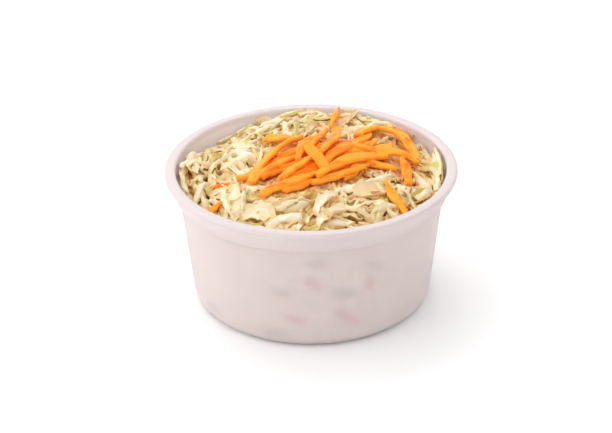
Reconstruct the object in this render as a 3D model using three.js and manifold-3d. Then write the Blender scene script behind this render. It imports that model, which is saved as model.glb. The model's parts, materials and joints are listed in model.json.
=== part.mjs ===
// Coleslaw in a round translucent deli cup, with a loose heap of carrot shreds on top.
// Millimetres, +Z up. The origin is the centre of the circle that the cup stands on, and the
// side that faces the diner is -Y.
import * as THREE from "three";
import { mergeVertices } from "three/addons/utils/BufferGeometryUtils.js";
import Module from "manifold-3d";

const wasm = await Module();
wasm.setup();

// ---------------------------------------------------------------- driving dimensions

const RIM_RADIUS = 58.5; // outside of the flange that the lid snaps over
const CUP_HEIGHT = 56;
const SKIN = 0.7; // wall of thin injection-moulded polypropylene
const TAPER = 0.106; // how far the wall leans out for each millimetre of height
const HEEL_RADIUS = 5; // round between the wall and the foot
const WALL_AT_FOOT = 48.1; // where the leaning wall would meet the table
const FOOT_INSIDE = 39; // the foot is a ring; inside it the floor is dished
const FLOOR_DISH = 0.8; // clear height of the dished floor
const COLLAR_DROP = 10; // the lid collar reaches this far below the rim
const COLLAR_STEP = 0.5; // the wall steps out by this much at the collar
const FLANGE_DROP = 1.7; // depth of the flange's turned-down edge
const LIP_INSIDE = 54; // where the wall turns out into the flange
const LIP_ROUND = 0.9; // round on the two edges of the flange
const GAP = 0.3; // clearance between pieces that rest on each other
const CUP_SIDES = 52;

const CORE_SIDES = 40;
const CORE_RINGS = 6; // rings of corners on the top of the cabbage core
const EDGE_LEVEL = 46; // top of the core at the wall on the two sides, before the lumps
const CROWN_LEVEL = 54.5; // and at the middle of the heap
const END_RISE = 4.2; // how much higher the core stands at the front and back of the wall
const BACK_SLOPE = 0.025; // the whole heap climbs gently towards the back
const LUMP = 1.2; // height of the core's slow lumps
const LUMP_SPACING_X = 57;
const LUMP_SPACING_Y = 48;
const RISE_POWER = 8; // how closely the rises below keep to the wall

// Where the core is heaped against the wall or falls away from it: the direction from the front
// in degrees, the rise at the wall, and how far it spreads along the wall.
const WALL_RISES = [
  [-97, 5.5, 13],
  [97, 6, 15],
  [152, 3.4, 12],
  [-133, -4, 11],
];

const CARROT_THICKNESS = 2.4; // of a coarse hand-grated shred
const LEAF_THICKNESS = 1.1;
const RIB_THICKNESS = 2.2; // white midrib, cut across
const FACET_LENGTH = 5.5; // of the flat fields along a shred
const PRESSED_LIFT = 0.5; // how high a piece lies when it is pressed down under the garnish
const SHORTENED = 0.6; // share of its length that a shortened piece keeps

const GOLDEN_ANGLE = Math.PI * (3 - Math.sqrt(5)); // spreads pieces evenly over the heap
const SLAW_SEED = 20;
const CARROT_SEED = 7;

const degrees = THREE.MathUtils.degToRad;

// ---------------------------------------------------------------- helpers

// A seeded source of numbers from 0 to 1, so that the heap is the same on every run.
function seededRandom(seed) {
  let state = seed;
  return () => {
    state = (state * 1664525 + 1013904223) % 4294967296;
    return state / 4294967296;
  };
}

const between = (random, low, high) => low + (high - low) * random();

// A BufferGeometry as a manifold-3d solid: its corners are merged by position.
function solidOf(geometry) {
  const bare = geometry.clone();
  bare.deleteAttribute("normal");
  bare.deleteAttribute("uv");
  const merged = mergeVertices(bare, 1e-4);
  return new wasm.Manifold(
    new wasm.Mesh({
      numProp: 3,
      vertProperties: new Float32Array(merged.attributes.position.array),
      triVerts: new Uint32Array(merged.index.array),
    }),
  );
}

// The largest body of a solid, without its sealed hollows and loose scraps.
function soundBody(solid) {
  const bodies = solid.decompose();
  return bodies.reduce((best, body) => (body.volume() > best.volume() ? body : best));
}

function geometryOf(solid) {
  const mesh = solid.getMesh();
  const geometry = new THREE.BufferGeometry();
  geometry.setAttribute("position", new THREE.BufferAttribute(mesh.vertProperties, 3));
  geometry.setIndex(new THREE.BufferAttribute(mesh.triVerts, 1));
  geometry.computeVertexNormals();
  return geometry;
}

// Points of a round in a lathe profile, from angle a0 to a1 in degrees, both ends included.
function round(centreR, centreZ, radius, a0, a1, steps) {
  return Array.from({ length: steps + 1 }, (_, i) => {
    const a = degrees(a0 + ((a1 - a0) * i) / steps);
    return new THREE.Vector2(centreR + radius * Math.cos(a), centreZ + radius * Math.sin(a));
  });
}

// A profile turned about Z.
function turned(profile, sides) {
  return new THREE.LatheGeometry(profile, sides).rotateX(Math.PI / 2);
}

// ---------------------------------------------------------------- cup

const leanAngle = THREE.MathUtils.radToDeg(Math.atan(TAPER));
const collarZ = CUP_HEIGHT - COLLAR_DROP;

// Outer radius of the leaning wall at a height, collar included.
function wallRadius(z) {
  return WALL_AT_FOOT + TAPER * z + (z > collarZ ? COLLAR_STEP : 0);
}

// The heel: a round that touches both the table and the leaning wall, set in by inset.
function heel(inset, steps) {
  const centreR = WALL_AT_FOOT + TAPER * HEEL_RADIUS - HEEL_RADIUS / Math.cos(Math.atan(TAPER));
  return round(centreR, HEEL_RADIUS, HEEL_RADIUS - inset, -90, -leanAngle, steps);
}

function cupGeometry() {
  const v = (r, z) => new THREE.Vector2(r, z);
  const underFlange = CUP_HEIGHT - SKIN;
  const outside = [
    v(0, FLOOR_DISH),
    v(FOOT_INSIDE - FLOOR_DISH, FLOOR_DISH),
    v(FOOT_INSIDE, 0),
    ...heel(0, 3),
    v(wallRadius(collarZ), collarZ),
    v(wallRadius(collarZ + 0.01), collarZ + COLLAR_STEP),
    v(wallRadius(underFlange), underFlange),
    v(RIM_RADIUS - SKIN, underFlange),
    v(RIM_RADIUS - SKIN, CUP_HEIGHT - FLANGE_DROP),
    v(RIM_RADIUS, CUP_HEIGHT - FLANGE_DROP),
  ];
  const flangeTop = [
    ...round(RIM_RADIUS - LIP_ROUND, CUP_HEIGHT - LIP_ROUND, LIP_ROUND, 0, 90, 2),
    ...round(LIP_INSIDE + LIP_ROUND, CUP_HEIGHT - LIP_ROUND, LIP_ROUND, 90, 165, 2),
  ];
  const inside = [
    v(wallRadius(collarZ + 0.01) - SKIN, collarZ + COLLAR_STEP),
    v(wallRadius(collarZ) - SKIN, collarZ),
    ...heel(SKIN, 3).reverse(),
    v(FOOT_INSIDE, SKIN + FLOOR_DISH),
    v(0, SKIN + FLOOR_DISH),
  ];
  return turned([...outside, ...flangeTop, ...inside], CUP_SIDES);
}

// ---------------------------------------------------------------- the cabbage core

const coreFoot = FLOOR_DISH + SKIN + GAP;
const coreInset = SKIN + GAP;

// How far the core rises at the wall in the direction of a point.
function riseTowards(x, y, bound) {
  const direction = Math.atan2(x, -y);
  return WALL_RISES.reduce((sum, [towards, rise, spread]) => {
    const turn = degrees(towards) - direction;
    const along = bound * Math.atan2(Math.sin(turn), Math.cos(turn));
    return sum + rise * Math.exp(-((along / spread) ** 2));
  }, 0);
}

// Height of the bare core under a point: a dome, higher at the front and back and where it is
// heaped against the wall, with slow lumps.
function coreHeight(x, y) {
  const bound = wallRadius(EDGE_LEVEL);
  const reach = Math.min(Math.hypot(x, y) / bound, 1);
  const dome = EDGE_LEVEL + (CROWN_LEVEL - EDGE_LEVEL) * (1 - reach ** 2);
  const saddle = END_RISE * (y / bound) ** 2 + BACK_SLOPE * y;
  const heaped = riseTowards(x, y, bound) * reach ** RISE_POWER;
  const acrossX = (2 * Math.PI * (x + 8)) / LUMP_SPACING_X;
  const acrossY = (2 * Math.PI * (y - 3)) / LUMP_SPACING_Y;
  return dome + saddle + heaped + LUMP * Math.sin(acrossX) * Math.cos(acrossY);
}

// The space inside the cup that food may fill, up to a height over the rim.
function roomProfile(top) {
  const wall = [collarZ - 1, collarZ + 1, top];
  return [
    new THREE.Vector2(0, coreFoot),
    new THREE.Vector2(FOOT_INSIDE, coreFoot),
    ...heel(coreInset, 3).filter((p) => p.y > coreFoot + 0.2),
    ...wall.map((z) => new THREE.Vector2(Math.min(wallRadius(z) - coreInset, LIP_INSIDE - GAP), z)),
    new THREE.Vector2(0, top),
  ];
}

function coreGeometry() {
  const bound = wallRadius(collarZ) - coreInset;
  const side = roomProfile(collarZ).slice(0, -4);
  const top = Array.from({ length: CORE_RINGS + 1 }, (_, i) => {
    return new THREE.Vector2(bound * (1 - i / CORE_RINGS), CUP_HEIGHT);
  });
  const geometry = turned([...side, ...top], CORE_SIDES);
  const corners = geometry.attributes.position;
  for (let i = 0; i < corners.count; i++) {
    if (corners.getZ(i) > CUP_HEIGHT - 1) {
      corners.setZ(i, coreHeight(corners.getX(i), corners.getY(i)));
    }
  }
  return geometry;
}

// ---------------------------------------------------------------- shreds

// A thin closed solid on a grid of steps by across fields, both faces split alike.
// place(s, t, side) gives a corner: s runs 0 to 1 lengthwise, t runs -1 to 1 across.
function sheetSolid(steps, across, place) {
  const row = across + 1;
  const under = (steps + 1) * row;
  const corners = [];
  for (const side of [1, -1]) {
    for (let i = 0; i <= steps; i++) {
      for (let j = 0; j <= across; j++) {
        corners.push(...place(i / steps, (2 * j) / across - 1, side).toArray());
      }
    }
  }
  const index = [];
  const quad = (a, b, c, d) => index.push(a, b, c, a, c, d);
  for (let i = 0; i < steps; i++) {
    for (let j = 0; j < across; j++) {
      const a = i * row + j;
      const b = a + row;
      quad(a, b, b + 1, a + 1);
      index.push(under + a, under + b + 1, under + b, under + a, under + a + 1, under + b + 1);
    }
    const near = i * row;
    const far = near + across;
    quad(under + near, under + near + row, near + row, near);
    quad(under + far + row, under + far, far, far + row);
  }
  for (let j = 0; j < across; j++) {
    const last = steps * row + j;
    quad(under + j + 1, under + j, j, j + 1);
    quad(under + last, under + last + 1, last + 1, last);
  }
  const geometry = new THREE.BufferGeometry();
  geometry.setAttribute("position", new THREE.BufferAttribute(new Float32Array(corners), 3));
  geometry.setIndex(index);
  return geometry;
}

// One shred laid over the core. It is an arc in plan that turns by bend over its length, and it
// follows the core's height. tilt leans it on its long edge, arch lifts its middle, rise lifts
// its far end, curl raises both long edges, and wave is the height of its one ripple.
function shred(piece) {
  const { x, y, heading, length, width, thickness, bend = 0.01, lift = 0, tilt = 0 } = piece;
  const { arch = 0, rise = 0, curl = 0, wave = 0, across = 1, blunt = 0.4 } = piece;
  const steps = Math.max(3, Math.round(length / FACET_LENGTH));
  const swing = Math.abs(bend) < 0.01 ? 0.01 : bend;
  const arm = length / swing;
  const place = (s, t, side) => {
    const turn = heading + swing * (s - 0.5);
    const lineX = x + arm * (Math.sin(turn) - Math.sin(heading));
    const lineY = y - arm * (Math.cos(turn) - Math.cos(heading));
    const half = 0.5 * width * (blunt + (1 - blunt) * Math.sin(Math.PI * s));
    const skin = 0.5 * thickness * side;
    const sideways = t * half * Math.cos(tilt) - skin * Math.sin(tilt);
    const rests = coreHeight(lineX, lineY) + lift + arch * Math.sin(Math.PI * s) + rise * (s - 0.5);
    const shape = curl * t * t + wave * Math.sin(2 * Math.PI * s + x);
    return new THREE.Vector3(
      lineX - Math.sin(turn) * sideways,
      lineY + Math.cos(turn) * sideways,
      rests + shape + t * half * Math.sin(tilt) + skin * Math.cos(tilt),
    );
  };
  return solidOf(sheetSolid(steps, across, place));
}

// A layout row as a piece. Headings and bends are written in degrees.
const laid = ([x, y, heading, bend, length, width, lift, rise], form) => ({
  x,
  y,
  heading: degrees(heading),
  bend: degrees(bend),
  length,
  width,
  lift,
  rise,
  ...form,
});

// ---------------------------------------------------------------- carrot garnish

const CARROT_FORM = { thickness: CARROT_THICKNESS, blunt: 0.6 };

// The shreds that are seen one by one: middle x, middle y, heading, bend, length, width, how far
// the middle lies above the core, and how much higher the far end lies than the near one.
const CARROT_LAYOUT = [
  [-12, 20, -7, -30, 13, 4.2, 3.6, 0],
  [-13, 9, 56, 38, 43, 3.4, 4.4, 1],
  [-23, -6, 48, 34, 15, 3.6, 3.2, 0.6],
  [-16, -5, 45, -49, 28, 3.2, 4.2, 1],
  [-9, 6, 24, 3, 13, 2.8, 3.6, 0],
  [-3, 7, 77, -12, 25, 3.2, 6.2, 0],
  [-7, -8, 49, -31, 20, 3.8, 5, 1],
  [2, -4, -67, -6, 21, 3.6, 7.2, -1.6],
  [-8, -18, 31, 3, 28, 3.4, 3.8, 1],
  [-7, -20, 48, 23, 11, 3, 2.8, 0.4],
  [7, 14, 75, 9, 32, 3.4, 6.4, -1.6],
  [5, 21, 75, -12, 26, 3.6, 4.4, -0.8],
  [9, 37, 77, 6, 26, 2.4, 3.6, -0.6],
  [10, 2, 55, -5, 18, 3.6, 5.8, -0.6],
  [21, 18, 15, 95, 20, 3.2, 4, 0.4],
  [33, 29, -28, -110, 28, 4.2, 4.6, -0.6],
  [17, 15, -7, -60, 15, 3.4, 3.4, 0],
  [24, 12, -10, 27, 15, 3.2, 4.6, 0],
  [16, -4, 36, -14, 38, 3.4, 6, -1.4],
  [32, 9, 8, -90, 23, 3.2, 5, -1],
  [13, -12, 32, 48, 27, 3.6, 4.6, 0.6],
  [37, -2, -87, -4, 23, 4.2, 4.4, -1],
  [41, 14, -77, -25, 16, 3.6, 4.2, 0],
];

// More shreds lie beneath those, in an oval on the crown of the heap.
const UNDER_COUNT = 12;
const UNDER_MIDDLE = new THREE.Vector2(8, -1);
const UNDER_HALF = new THREE.Vector2(29, 12);
const UNDER_TURN = degrees(16);
const UNDER_LIFT = 2.6;

function carrotPieces(extra) {
  const random = seededRandom(CARROT_SEED);
  const seen = CARROT_LAYOUT.map((row) => laid(row, CARROT_FORM));
  const under = Array.from({ length: UNDER_COUNT }, (_, k) => {
    const from = Math.sqrt((k + 0.5) / UNDER_COUNT);
    const angle = k * GOLDEN_ANGLE;
    const place = new THREE.Vector2(from * Math.cos(angle), from * Math.sin(angle));
    place.multiply(UNDER_HALF).rotateAround(new THREE.Vector2(), UNDER_TURN).add(UNDER_MIDDLE);
    const heading = between(random, -25, 95);
    const bend = between(random, -50, 50);
    const length = between(random, 20, 28);
    const width = between(random, 3, 3.8);
    return laid([place.x, place.y, heading, bend, length, width, UNDER_LIFT, 0], CARROT_FORM);
  });
  return [...seen, ...under].map((piece) => ({
    ...piece,
    length: piece.length + extra,
    width: piece.width + extra,
    thickness: piece.thickness + extra,
  }));
}

function carrotHeap(extra, floor) {
  return wasm.Manifold.union(carrotPieces(extra).map(shred)).subtract(floor);
}

// ---------------------------------------------------------------- cabbage heap

const LEAF_FORM = { thickness: LEAF_THICKNESS, across: 2, curl: 0.8, wave: 0.4 };
const LEAF_TILT = degrees(17);

// The flakes that are seen one by one, in the same order of values as the carrot shreds.
const LEAF_LAYOUT = [
  [-28, 21, -43, 15, 15, 3.4, 2.2, 0],
  [-28, 15, -43, 24, 16, 6, 1.6, 0],
  [-30, 7, 28, -60, 15, 7, 1.8, 0.6],
  [-41, 20, -84, 12, 20, 3, 2.8, -2],
  [-48, 3, -58, 30, 9, 4.5, 0.8, 0],
  [-44, 6, 45, -5, 10, 5, 1.2, 0.4],
  [-39, -7, -86, -60, 12, 5, 1.4, 0],
  [-44, -13, 73, -50, 13, 3.8, 1.8, 0],
  [-30, -24, -83, -12, 22, 9, 1.8, 0],
  [-23, -17, -32, 25, 12, 4.5, 1, 0],
  [-11, -27, 33, 11, 23, 9, 2, 0.6],
  [-20, -35, -11, -60, 13, 10, 1.4, 0],
  [-7, -33, 3, 80, 14, 7, 1.4, 0],
  [-10, -40, 0, -80, 13, 7, 1.6, 0],
  [4, -29, 64, -61, 19, 4.5, 2.6, 0],
  [7, -40, 40, -50, 14, 8, 1.6, 0],
  [16, -18, 1, -90, 15, 6, 1.6, 0],
  [24, -22, 9, 31, 14, 9, 1.8, 0],
  [17, -36, -28, 60, 11, 6, 1.4, 0],
  [27, -32, 32, -46, 11, 4, 1.4, 0],
  [44, -9, -72, -5, 16, 8, 1.2, 0],
  [43, -19, 47, -5, 13, 5.5, 1, 0],
  [36, -17, 59, -17, 13, 6, 1.4, 0],
  [27, -9, 36, 13, 14, 4, 1.4, 0],
  [-18, 37, 53, 60, 21, 5, 2.2, 0],
  [-16, 46, 28, -100, 13, 8, 1.8, 0],
  [-1, 33, 55, -43, 15, 4, 2.2, 0],
  [16, 43, 54, 6, 12, 4, 1.4, 0],
  [19, 33, 16, -32, 13, 7, 1.6, 0],
  [28, 40, 11, -90, 16, 4, 2, 0],
  [47, 4, -57, -60, 16, 6.5, 1.6, 0],
];

// Shreds of carrot that are mixed in, and show at the surface.
const MIXED_CARROT_LAYOUT = [
  [33, -27, -66, 20, 17, 4.4, 2.8, 0],
  [-40, -29, 62, -70, 15, 3.6, 2.6, 0],
  [-36, -9, 5, -30, 9, 3.2, 2.8, 0],
  [34, 40, -40, 10, 9, 3, 2.6, 0],
];

// The kinds of cut cabbage that fill the rest of the top, the largest first.
const CABBAGE_KINDS = [
  { count: 12, length: [12, 18], width: [6, 9], tilt: 26, form: LEAF_FORM },
  { count: 9, length: [11, 17], width: [3.4, 5], tilt: 24, form: { thickness: RIB_THICKNESS } },
  { count: 30, length: [16, 28], width: [2.8, 4.2], tilt: 34, form: { thickness: LEAF_THICKNESS } },
];
const MOST_BEND = degrees(63);
const NEAR_WALL = 0.7; // share of the way to the wall, past which pieces lie along it, and flatter

function cabbagePieces() {
  const random = seededRandom(SLAW_SEED);
  const reach = wallRadius(collarZ) - coreInset;
  const pieces = LEAF_LAYOUT.map((row) => {
    return laid(row, { ...LEAF_FORM, tilt: between(random, -LEAF_TILT, LEAF_TILT) });
  });
  pieces.push(...MIXED_CARROT_LAYOUT.map((row) => laid(row, CARROT_FORM)));
  for (const kind of CABBAGE_KINDS) {
    const start = between(random, 0, 2 * Math.PI);
    for (let k = 0; k < kind.count; k++) {
      const width = between(random, ...kind.width);
      const from = (reach - 0.4 * width) * Math.sqrt((k + 0.5) / kind.count);
      const angle = start + k * GOLDEN_ANGLE;
      const atWall = from > NEAR_WALL * reach;
      const loose = atWall ? 38 : 180;
      pieces.push({
        x: from * Math.cos(angle),
        y: from * Math.sin(angle),
        heading: angle + Math.PI / 2 + degrees(between(random, -loose, loose)),
        length: between(random, ...kind.length),
        width,
        bend: between(random, -MOST_BEND, MOST_BEND),
        lift: between(random, 0.5, atWall ? 1.3 : 2.2),
        tilt: degrees(between(random, -kind.tilt, kind.tilt)) * (atWall ? 0.6 : 1),
        arch: between(random, 0, atWall ? 0.8 : 1.6),
        rise: between(random, -1, 1) * (atWall ? 0.8 : 2),
        ...kind.form,
      });
    }
  }
  return pieces;
}

// A piece stays clear of the garnish: it is pressed down first, then shortened, then left out.
function clearOf(garnish, piece) {
  const pressed = { ...piece, lift: PRESSED_LIFT, arch: 0, rise: 0, tilt: 0, curl: 0, wave: 0 };
  const shortened = { ...pressed, length: SHORTENED * piece.length };
  const solids = [piece, pressed, shortened].map(shred);
  return solids.find((solid) => solid.intersect(garnish).isEmpty());
}

// ---------------------------------------------------------------- assembly

const core = solidOf(coreGeometry());
const liftedCore = core.translate([0, 0, GAP]);
const carrot = soundBody(carrotHeap(0, liftedCore));
const carrotClearance = carrotHeap(2 * GAP, core);

const cabbage = cabbagePieces()
  .map((piece) => clearOf(carrotClearance, piece))
  .filter((solid) => solid !== undefined);
const room = solidOf(turned(roomProfile(CUP_HEIGHT + 20), CORE_SIDES));
const slaw = soundBody(wasm.Manifold.union([core, ...cabbage]).intersect(room));

function named(name, geometry, color, roughness) {
  const material = new THREE.MeshStandardMaterial({ color, roughness, metalness: 0 });
  const mesh = new THREE.Mesh(geometry, material);
  mesh.name = name;
  return mesh;
}

const coleslaw = new THREE.Group();
coleslaw.add(
  named("cup", cupGeometry(), 0xebdfdc, 0.4),
  named("slaw", geometryOf(slaw), 0xefe4bd, 0.35),
  named("carrot", geometryOf(carrot), 0xf28a1d, 0.4),
);

export default coleslaw;
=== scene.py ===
# %% [markdown]
# # A tub of coleslaw
# The finished thing is a translucent deli cup, filled with shredded cabbage in a thin dressing,
# with a loose heap of grated carrot on top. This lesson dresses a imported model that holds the
# true sizes: a cup, a cabbage heap and a carrot heap. Each is replaced by finer pieces that
# keep its form. All lengths below are in millimetres, and Blender's metres come last.

# %% Load the frame
import json
import math

import bmesh
import bpy
import numpy as np
from mathutils import Matrix, Vector

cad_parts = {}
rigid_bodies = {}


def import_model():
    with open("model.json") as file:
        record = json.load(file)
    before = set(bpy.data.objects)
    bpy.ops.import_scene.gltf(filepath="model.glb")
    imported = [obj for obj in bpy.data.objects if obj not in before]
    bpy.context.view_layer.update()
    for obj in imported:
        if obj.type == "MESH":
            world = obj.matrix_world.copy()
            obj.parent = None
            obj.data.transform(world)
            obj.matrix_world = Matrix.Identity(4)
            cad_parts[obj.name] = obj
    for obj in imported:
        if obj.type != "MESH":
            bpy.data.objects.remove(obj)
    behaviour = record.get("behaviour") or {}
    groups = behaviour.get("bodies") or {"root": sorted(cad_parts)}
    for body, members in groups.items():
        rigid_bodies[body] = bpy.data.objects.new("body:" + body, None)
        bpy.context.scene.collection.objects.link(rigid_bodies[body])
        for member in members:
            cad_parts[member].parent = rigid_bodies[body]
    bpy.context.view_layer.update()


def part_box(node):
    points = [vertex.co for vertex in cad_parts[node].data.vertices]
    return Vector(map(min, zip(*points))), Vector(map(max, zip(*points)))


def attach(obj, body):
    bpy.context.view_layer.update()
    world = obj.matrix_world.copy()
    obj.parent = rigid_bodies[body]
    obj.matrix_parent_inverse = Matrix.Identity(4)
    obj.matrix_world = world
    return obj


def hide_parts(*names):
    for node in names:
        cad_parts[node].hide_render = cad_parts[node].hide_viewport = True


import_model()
MM = 0.001

# %% [markdown]
# ## Small helpers
# Colours are written as the sRGB hex values that a colour picker shows, and one function turns
# them to the linear values that a shader mixes. One more adds a node with its settings and
# links. A colour is built as a painter does it: a first one, and others laid over it.


# %% Helpers for colours and nodes
def srgb(code):
    """An sRGB hex colour as linear red, green, blue and alpha."""
    parts = [int(code[i:i + 2], 16) / 255 for i in (1, 3, 5)]
    linear = [p / 12.92 if p <= 0.04045 else ((p + 0.055) / 1.055) ** 2.4 for p in parts]
    return (*linear, 1.0)


def set_inputs(tree, node, inputs):
    """An input is a value, the socket that feeds it, or a node whose first output does."""
    for name, value in inputs.items():
        if isinstance(value, bpy.types.Node):
            value = value.outputs[0]
        if isinstance(value, bpy.types.NodeSocket):
            tree.links.new(value, node.inputs[name])
        else:
            node.inputs[name].default_value = value


def add_node(tree, kind, inputs=None, **settings):
    made = tree.nodes.new("ShaderNode" + kind)
    for name, value in settings.items():
        setattr(made, name, value)
    set_inputs(tree, made, inputs or {})
    return made


def new_material(name):
    """A material, its node tree and its Principled shader."""
    material = bpy.data.materials.new(name)
    material.use_nodes = True
    tree = material.node_tree
    return material, tree, next(n for n in tree.nodes if n.type == "BSDF_PRINCIPLED")


def colour_in_layers(tree, first, layers):
    """A first colour, and others laid over it in turn, each by its share."""
    colour = srgb(first)
    for share, code in layers:
        mixed = add_node(tree, "Mix", {0: share, 6: colour, 7: srgb(code)}, data_type="RGBA")
        colour = mixed.outputs[2]
    return colour


def dress(material, *pieces):
    for piece in pieces:
        piece.data.materials.append(material)
    print(material.name, "has", len(material.node_tree.nodes), "nodes, on", [p.name for p in pieces])


def smooth_step(x):
    """Rises from 0 to 1 as x does, level at both ends."""
    x = np.clip(x, 0.0, 1.0)
    return x * x * (3 - 2 * x)


print("half grey is", round(srgb("#808080")[0], 3), "linear")

# %% [markdown]
# ## The cup
# A deli cup is injection-moulded from polypropylene, 0.7 mm thick. Its wall leans out a little
# so that cups stack, its foot is a ring with a dished floor, and near the rim it steps out and
# turns into a flat flange that the lid snaps over. A spun outline would do, but pulling a disc
# through the outline, as a potter does, keeps the shell closed at every moment: out under the
# foot, up the outside, over the rim, and back down the inside to the floor.

# %% Sizes of the cup
cup_low, cup_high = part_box("cup")
RIM_RADIUS = 1000 * cup_high.x
CUP_HEIGHT = 1000 * cup_high.z
SKIN = 0.7
TAPER = 0.106  # how far the wall leans out for each millimetre of height
WALL_AT_FOOT = 48.1
FOOT_INSIDE = 39.0
FLOOR_DISH = 0.8
COLLAR_Z = CUP_HEIGHT - 10.0
COLLAR_STEP = 0.5
LIP_INSIDE = 54.0
FLANGE_DROP = 1.7
CUP_SIDES = 180
print("rim radius", round(RIM_RADIUS, 2), "height", round(CUP_HEIGHT, 2))


def wall_radius(z):
    """Outer radius of the leaning wall."""
    return WALL_AT_FOOT + TAPER * z + (COLLAR_STEP if z > COLLAR_Z + 0.01 else 0.0)


# %% Pull a disc through an outline
def deselect():
    for thing in bpy.context.scene.objects:
        thing.select_set(False)


def start_disc(name, radius, z, sides):
    """A disc that is left open in edit mode, ready to be pulled."""
    deselect()
    bpy.ops.mesh.primitive_circle_add(
        vertices=sides, radius=radius * MM, fill_type="NGON", location=(0, 0, 0))
    piece = bpy.context.object
    piece.name = piece.data.name = name
    bpy.ops.object.mode_set(mode="EDIT")
    bpy.ops.mesh.select_mode(type="FACE")
    bpy.ops.mesh.select_all(action="SELECT")
    bpy.ops.transform.translate(value=(0, 0, z * MM))
    return piece


def pull(outline, start):
    """Extrudes the selected disc from corner to corner of an outline of radius and height."""
    radius, z = start
    for next_radius, next_z in outline:
        bpy.ops.mesh.extrude_region_move(
            TRANSFORM_OT_translate={"value": (0, 0, (next_z - z) * MM)})
        ratio = next_radius / radius
        bpy.ops.transform.resize(value=(ratio, ratio, 1), center_override=(0, 0, next_z * MM))
        radius, z = next_radius, next_z


# %% Select by place, round and finish
def select_where(piece, parts, wanted):
    """In edit mode, selects only those edges or faces that are wanted."""
    bpy.ops.mesh.select_all(action="DESELECT")
    mesh = bmesh.from_edit_mesh(piece.data)
    for part in getattr(mesh, parts):
        part.select = wanted(part)
    bmesh.update_edit_mesh(piece.data)


def round_rings(piece, rings, near=0.02):
    """Bevels rings of edges. A ring is its radius, height, round's reach and segments."""
    bpy.ops.mesh.select_mode(type="EDGE")
    for radius, z, reach, segments in rings:
        select_where(piece, "edges", lambda edge: all(
            abs(v.co.xy.length / MM - radius) < near and abs(v.co.z / MM - z) < near
            for v in edge.verts))
        bpy.ops.mesh.bevel(offset=reach * MM, offset_type="OFFSET", segments=segments)


def finish_shell(piece, angle):
    """Leaves edit mode with the faces outward, and smooth but for edges sharper than an angle."""
    bpy.ops.mesh.select_all(action="SELECT")
    bpy.ops.mesh.normals_make_consistent(inside=False)
    bpy.ops.object.mode_set(mode="OBJECT")
    bpy.ops.object.shade_smooth_by_angle(angle=math.radians(angle))
    print(piece.name, "has", len(piece.data.polygons), "faces")


# %% The cup itself
def make_cup():
    collar_out, collar_in = wall_radius(COLLAR_Z), wall_radius(COLLAR_Z) - SKIN
    flange_z = CUP_HEIGHT - SKIN
    outside = [
        (FOOT_INSIDE, 0.0), (WALL_AT_FOOT, 0.0), (collar_out, COLLAR_Z),
        (wall_radius(CUP_HEIGHT), COLLAR_Z + COLLAR_STEP), (wall_radius(flange_z), flange_z),
        (RIM_RADIUS - SKIN, flange_z), (RIM_RADIUS - SKIN, CUP_HEIGHT - FLANGE_DROP),
        (RIM_RADIUS, CUP_HEIGHT - FLANGE_DROP), (RIM_RADIUS, CUP_HEIGHT),
    ]
    inside = [
        (LIP_INSIDE, CUP_HEIGHT), (wall_radius(CUP_HEIGHT) - SKIN, COLLAR_Z + COLLAR_STEP),
        (collar_in, COLLAR_Z), (WALL_AT_FOOT - SKIN, SKIN),
        (FOOT_INSIDE, SKIN), (FOOT_INSIDE - FLOOR_DISH, SKIN + FLOOR_DISH),
    ]
    first = (FOOT_INSIDE - FLOOR_DISH, FLOOR_DISH)
    cup = start_disc("deli_cup", *first, CUP_SIDES)
    pull(outside + inside, first)
    heel_reach, lip_reach, collar_reach, flange_reach = 4.5, 1.0, 0.25, 0.2
    round_rings(cup, [
        (WALL_AT_FOOT, 0.0, heel_reach, 8), (WALL_AT_FOOT - SKIN, SKIN, heel_reach - SKIN, 8),
        (RIM_RADIUS, CUP_HEIGHT, lip_reach, 4), (LIP_INSIDE, CUP_HEIGHT, lip_reach, 4),
        (collar_out, COLLAR_Z, collar_reach, 2), (collar_in, COLLAR_Z, collar_reach, 2),
        (RIM_RADIUS, CUP_HEIGHT - FLANGE_DROP, flange_reach, 2),
    ])
    finish_shell(cup, angle=35)
    return cup


cup = make_cup()

# %% [markdown]
# ## Moulded polypropylene
# Unfilled polypropylene is milky: light is scattered inside the skin, so what touches the wall
# shows as a soft smear. Glass with a rough surface gives that blur, and the part of the light
# that scatters straight back is an off-white base under it. Its IOR is 1.49. The mould leaves
# a satin surface, with faint clouds where the skin is thicker, about 18 mm apart. Dressing wets
# the wall and lets light through, so the dry wall above the food is less clear. From the collar
# up the wall is painted whiter, partly for the dry wall and partly as painted light, the wall
# lit from behind. The flange is painted a little darker, a painted shade against the strong
# light on the rim.


# %% Material of the cup
def milky_polypropylene():
    material, tree, shader = new_material("milky_polypropylene")
    place = add_node(tree, "TexCoord").outputs["Object"]
    clouds = add_node(tree, "TexNoise", {"Vector": place, "Scale": 1 / (18 * MM), "Detail": 2.0})
    height = add_node(tree, "SeparateXYZ", {"Vector": place}).outputs["Z"]
    towards_rim = add_node(tree, "MapRange", {
        "Value": height, "From Min": (COLLAR_Z - 1) * MM, "From Max": (COLLAR_Z + 3) * MM})
    at_flange = add_node(tree, "MapRange", {
        "Value": height, "From Min": (CUP_HEIGHT - 3) * MM, "From Max": (CUP_HEIGHT - 2) * MM})
    clearness = add_node(tree, "MapRange", {
        "Value": height, "From Min": COLLAR_Z * MM, "From Max": (CUP_HEIGHT - 3) * MM,
        "To Min": 0.5, "To Max": 0.38})
    # Painted light: whiter from the collar up, for the wall lit from behind. Painted shade: darker at the
    # flange.
    colour = colour_in_layers(tree, "#f3e5e4", [
        (clouds, "#f8eeec"), (towards_rim, "#f9efee"), (at_flange, "#ece0df")])
    set_inputs(tree, shader, {
        "Base Color": colour, "Transmission Weight": clearness, "Roughness": 0.42, "IOR": 1.49})
    return material


dress(milky_polypropylene(), cup)

# %% [markdown]
# ## The form of the heap
# Everything on top of the cup follows one height function: a low dome that stands higher at
# the front and back than at the two sides, with slow lumps. In four places it rises or falls
# where it meets the wall.

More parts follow.
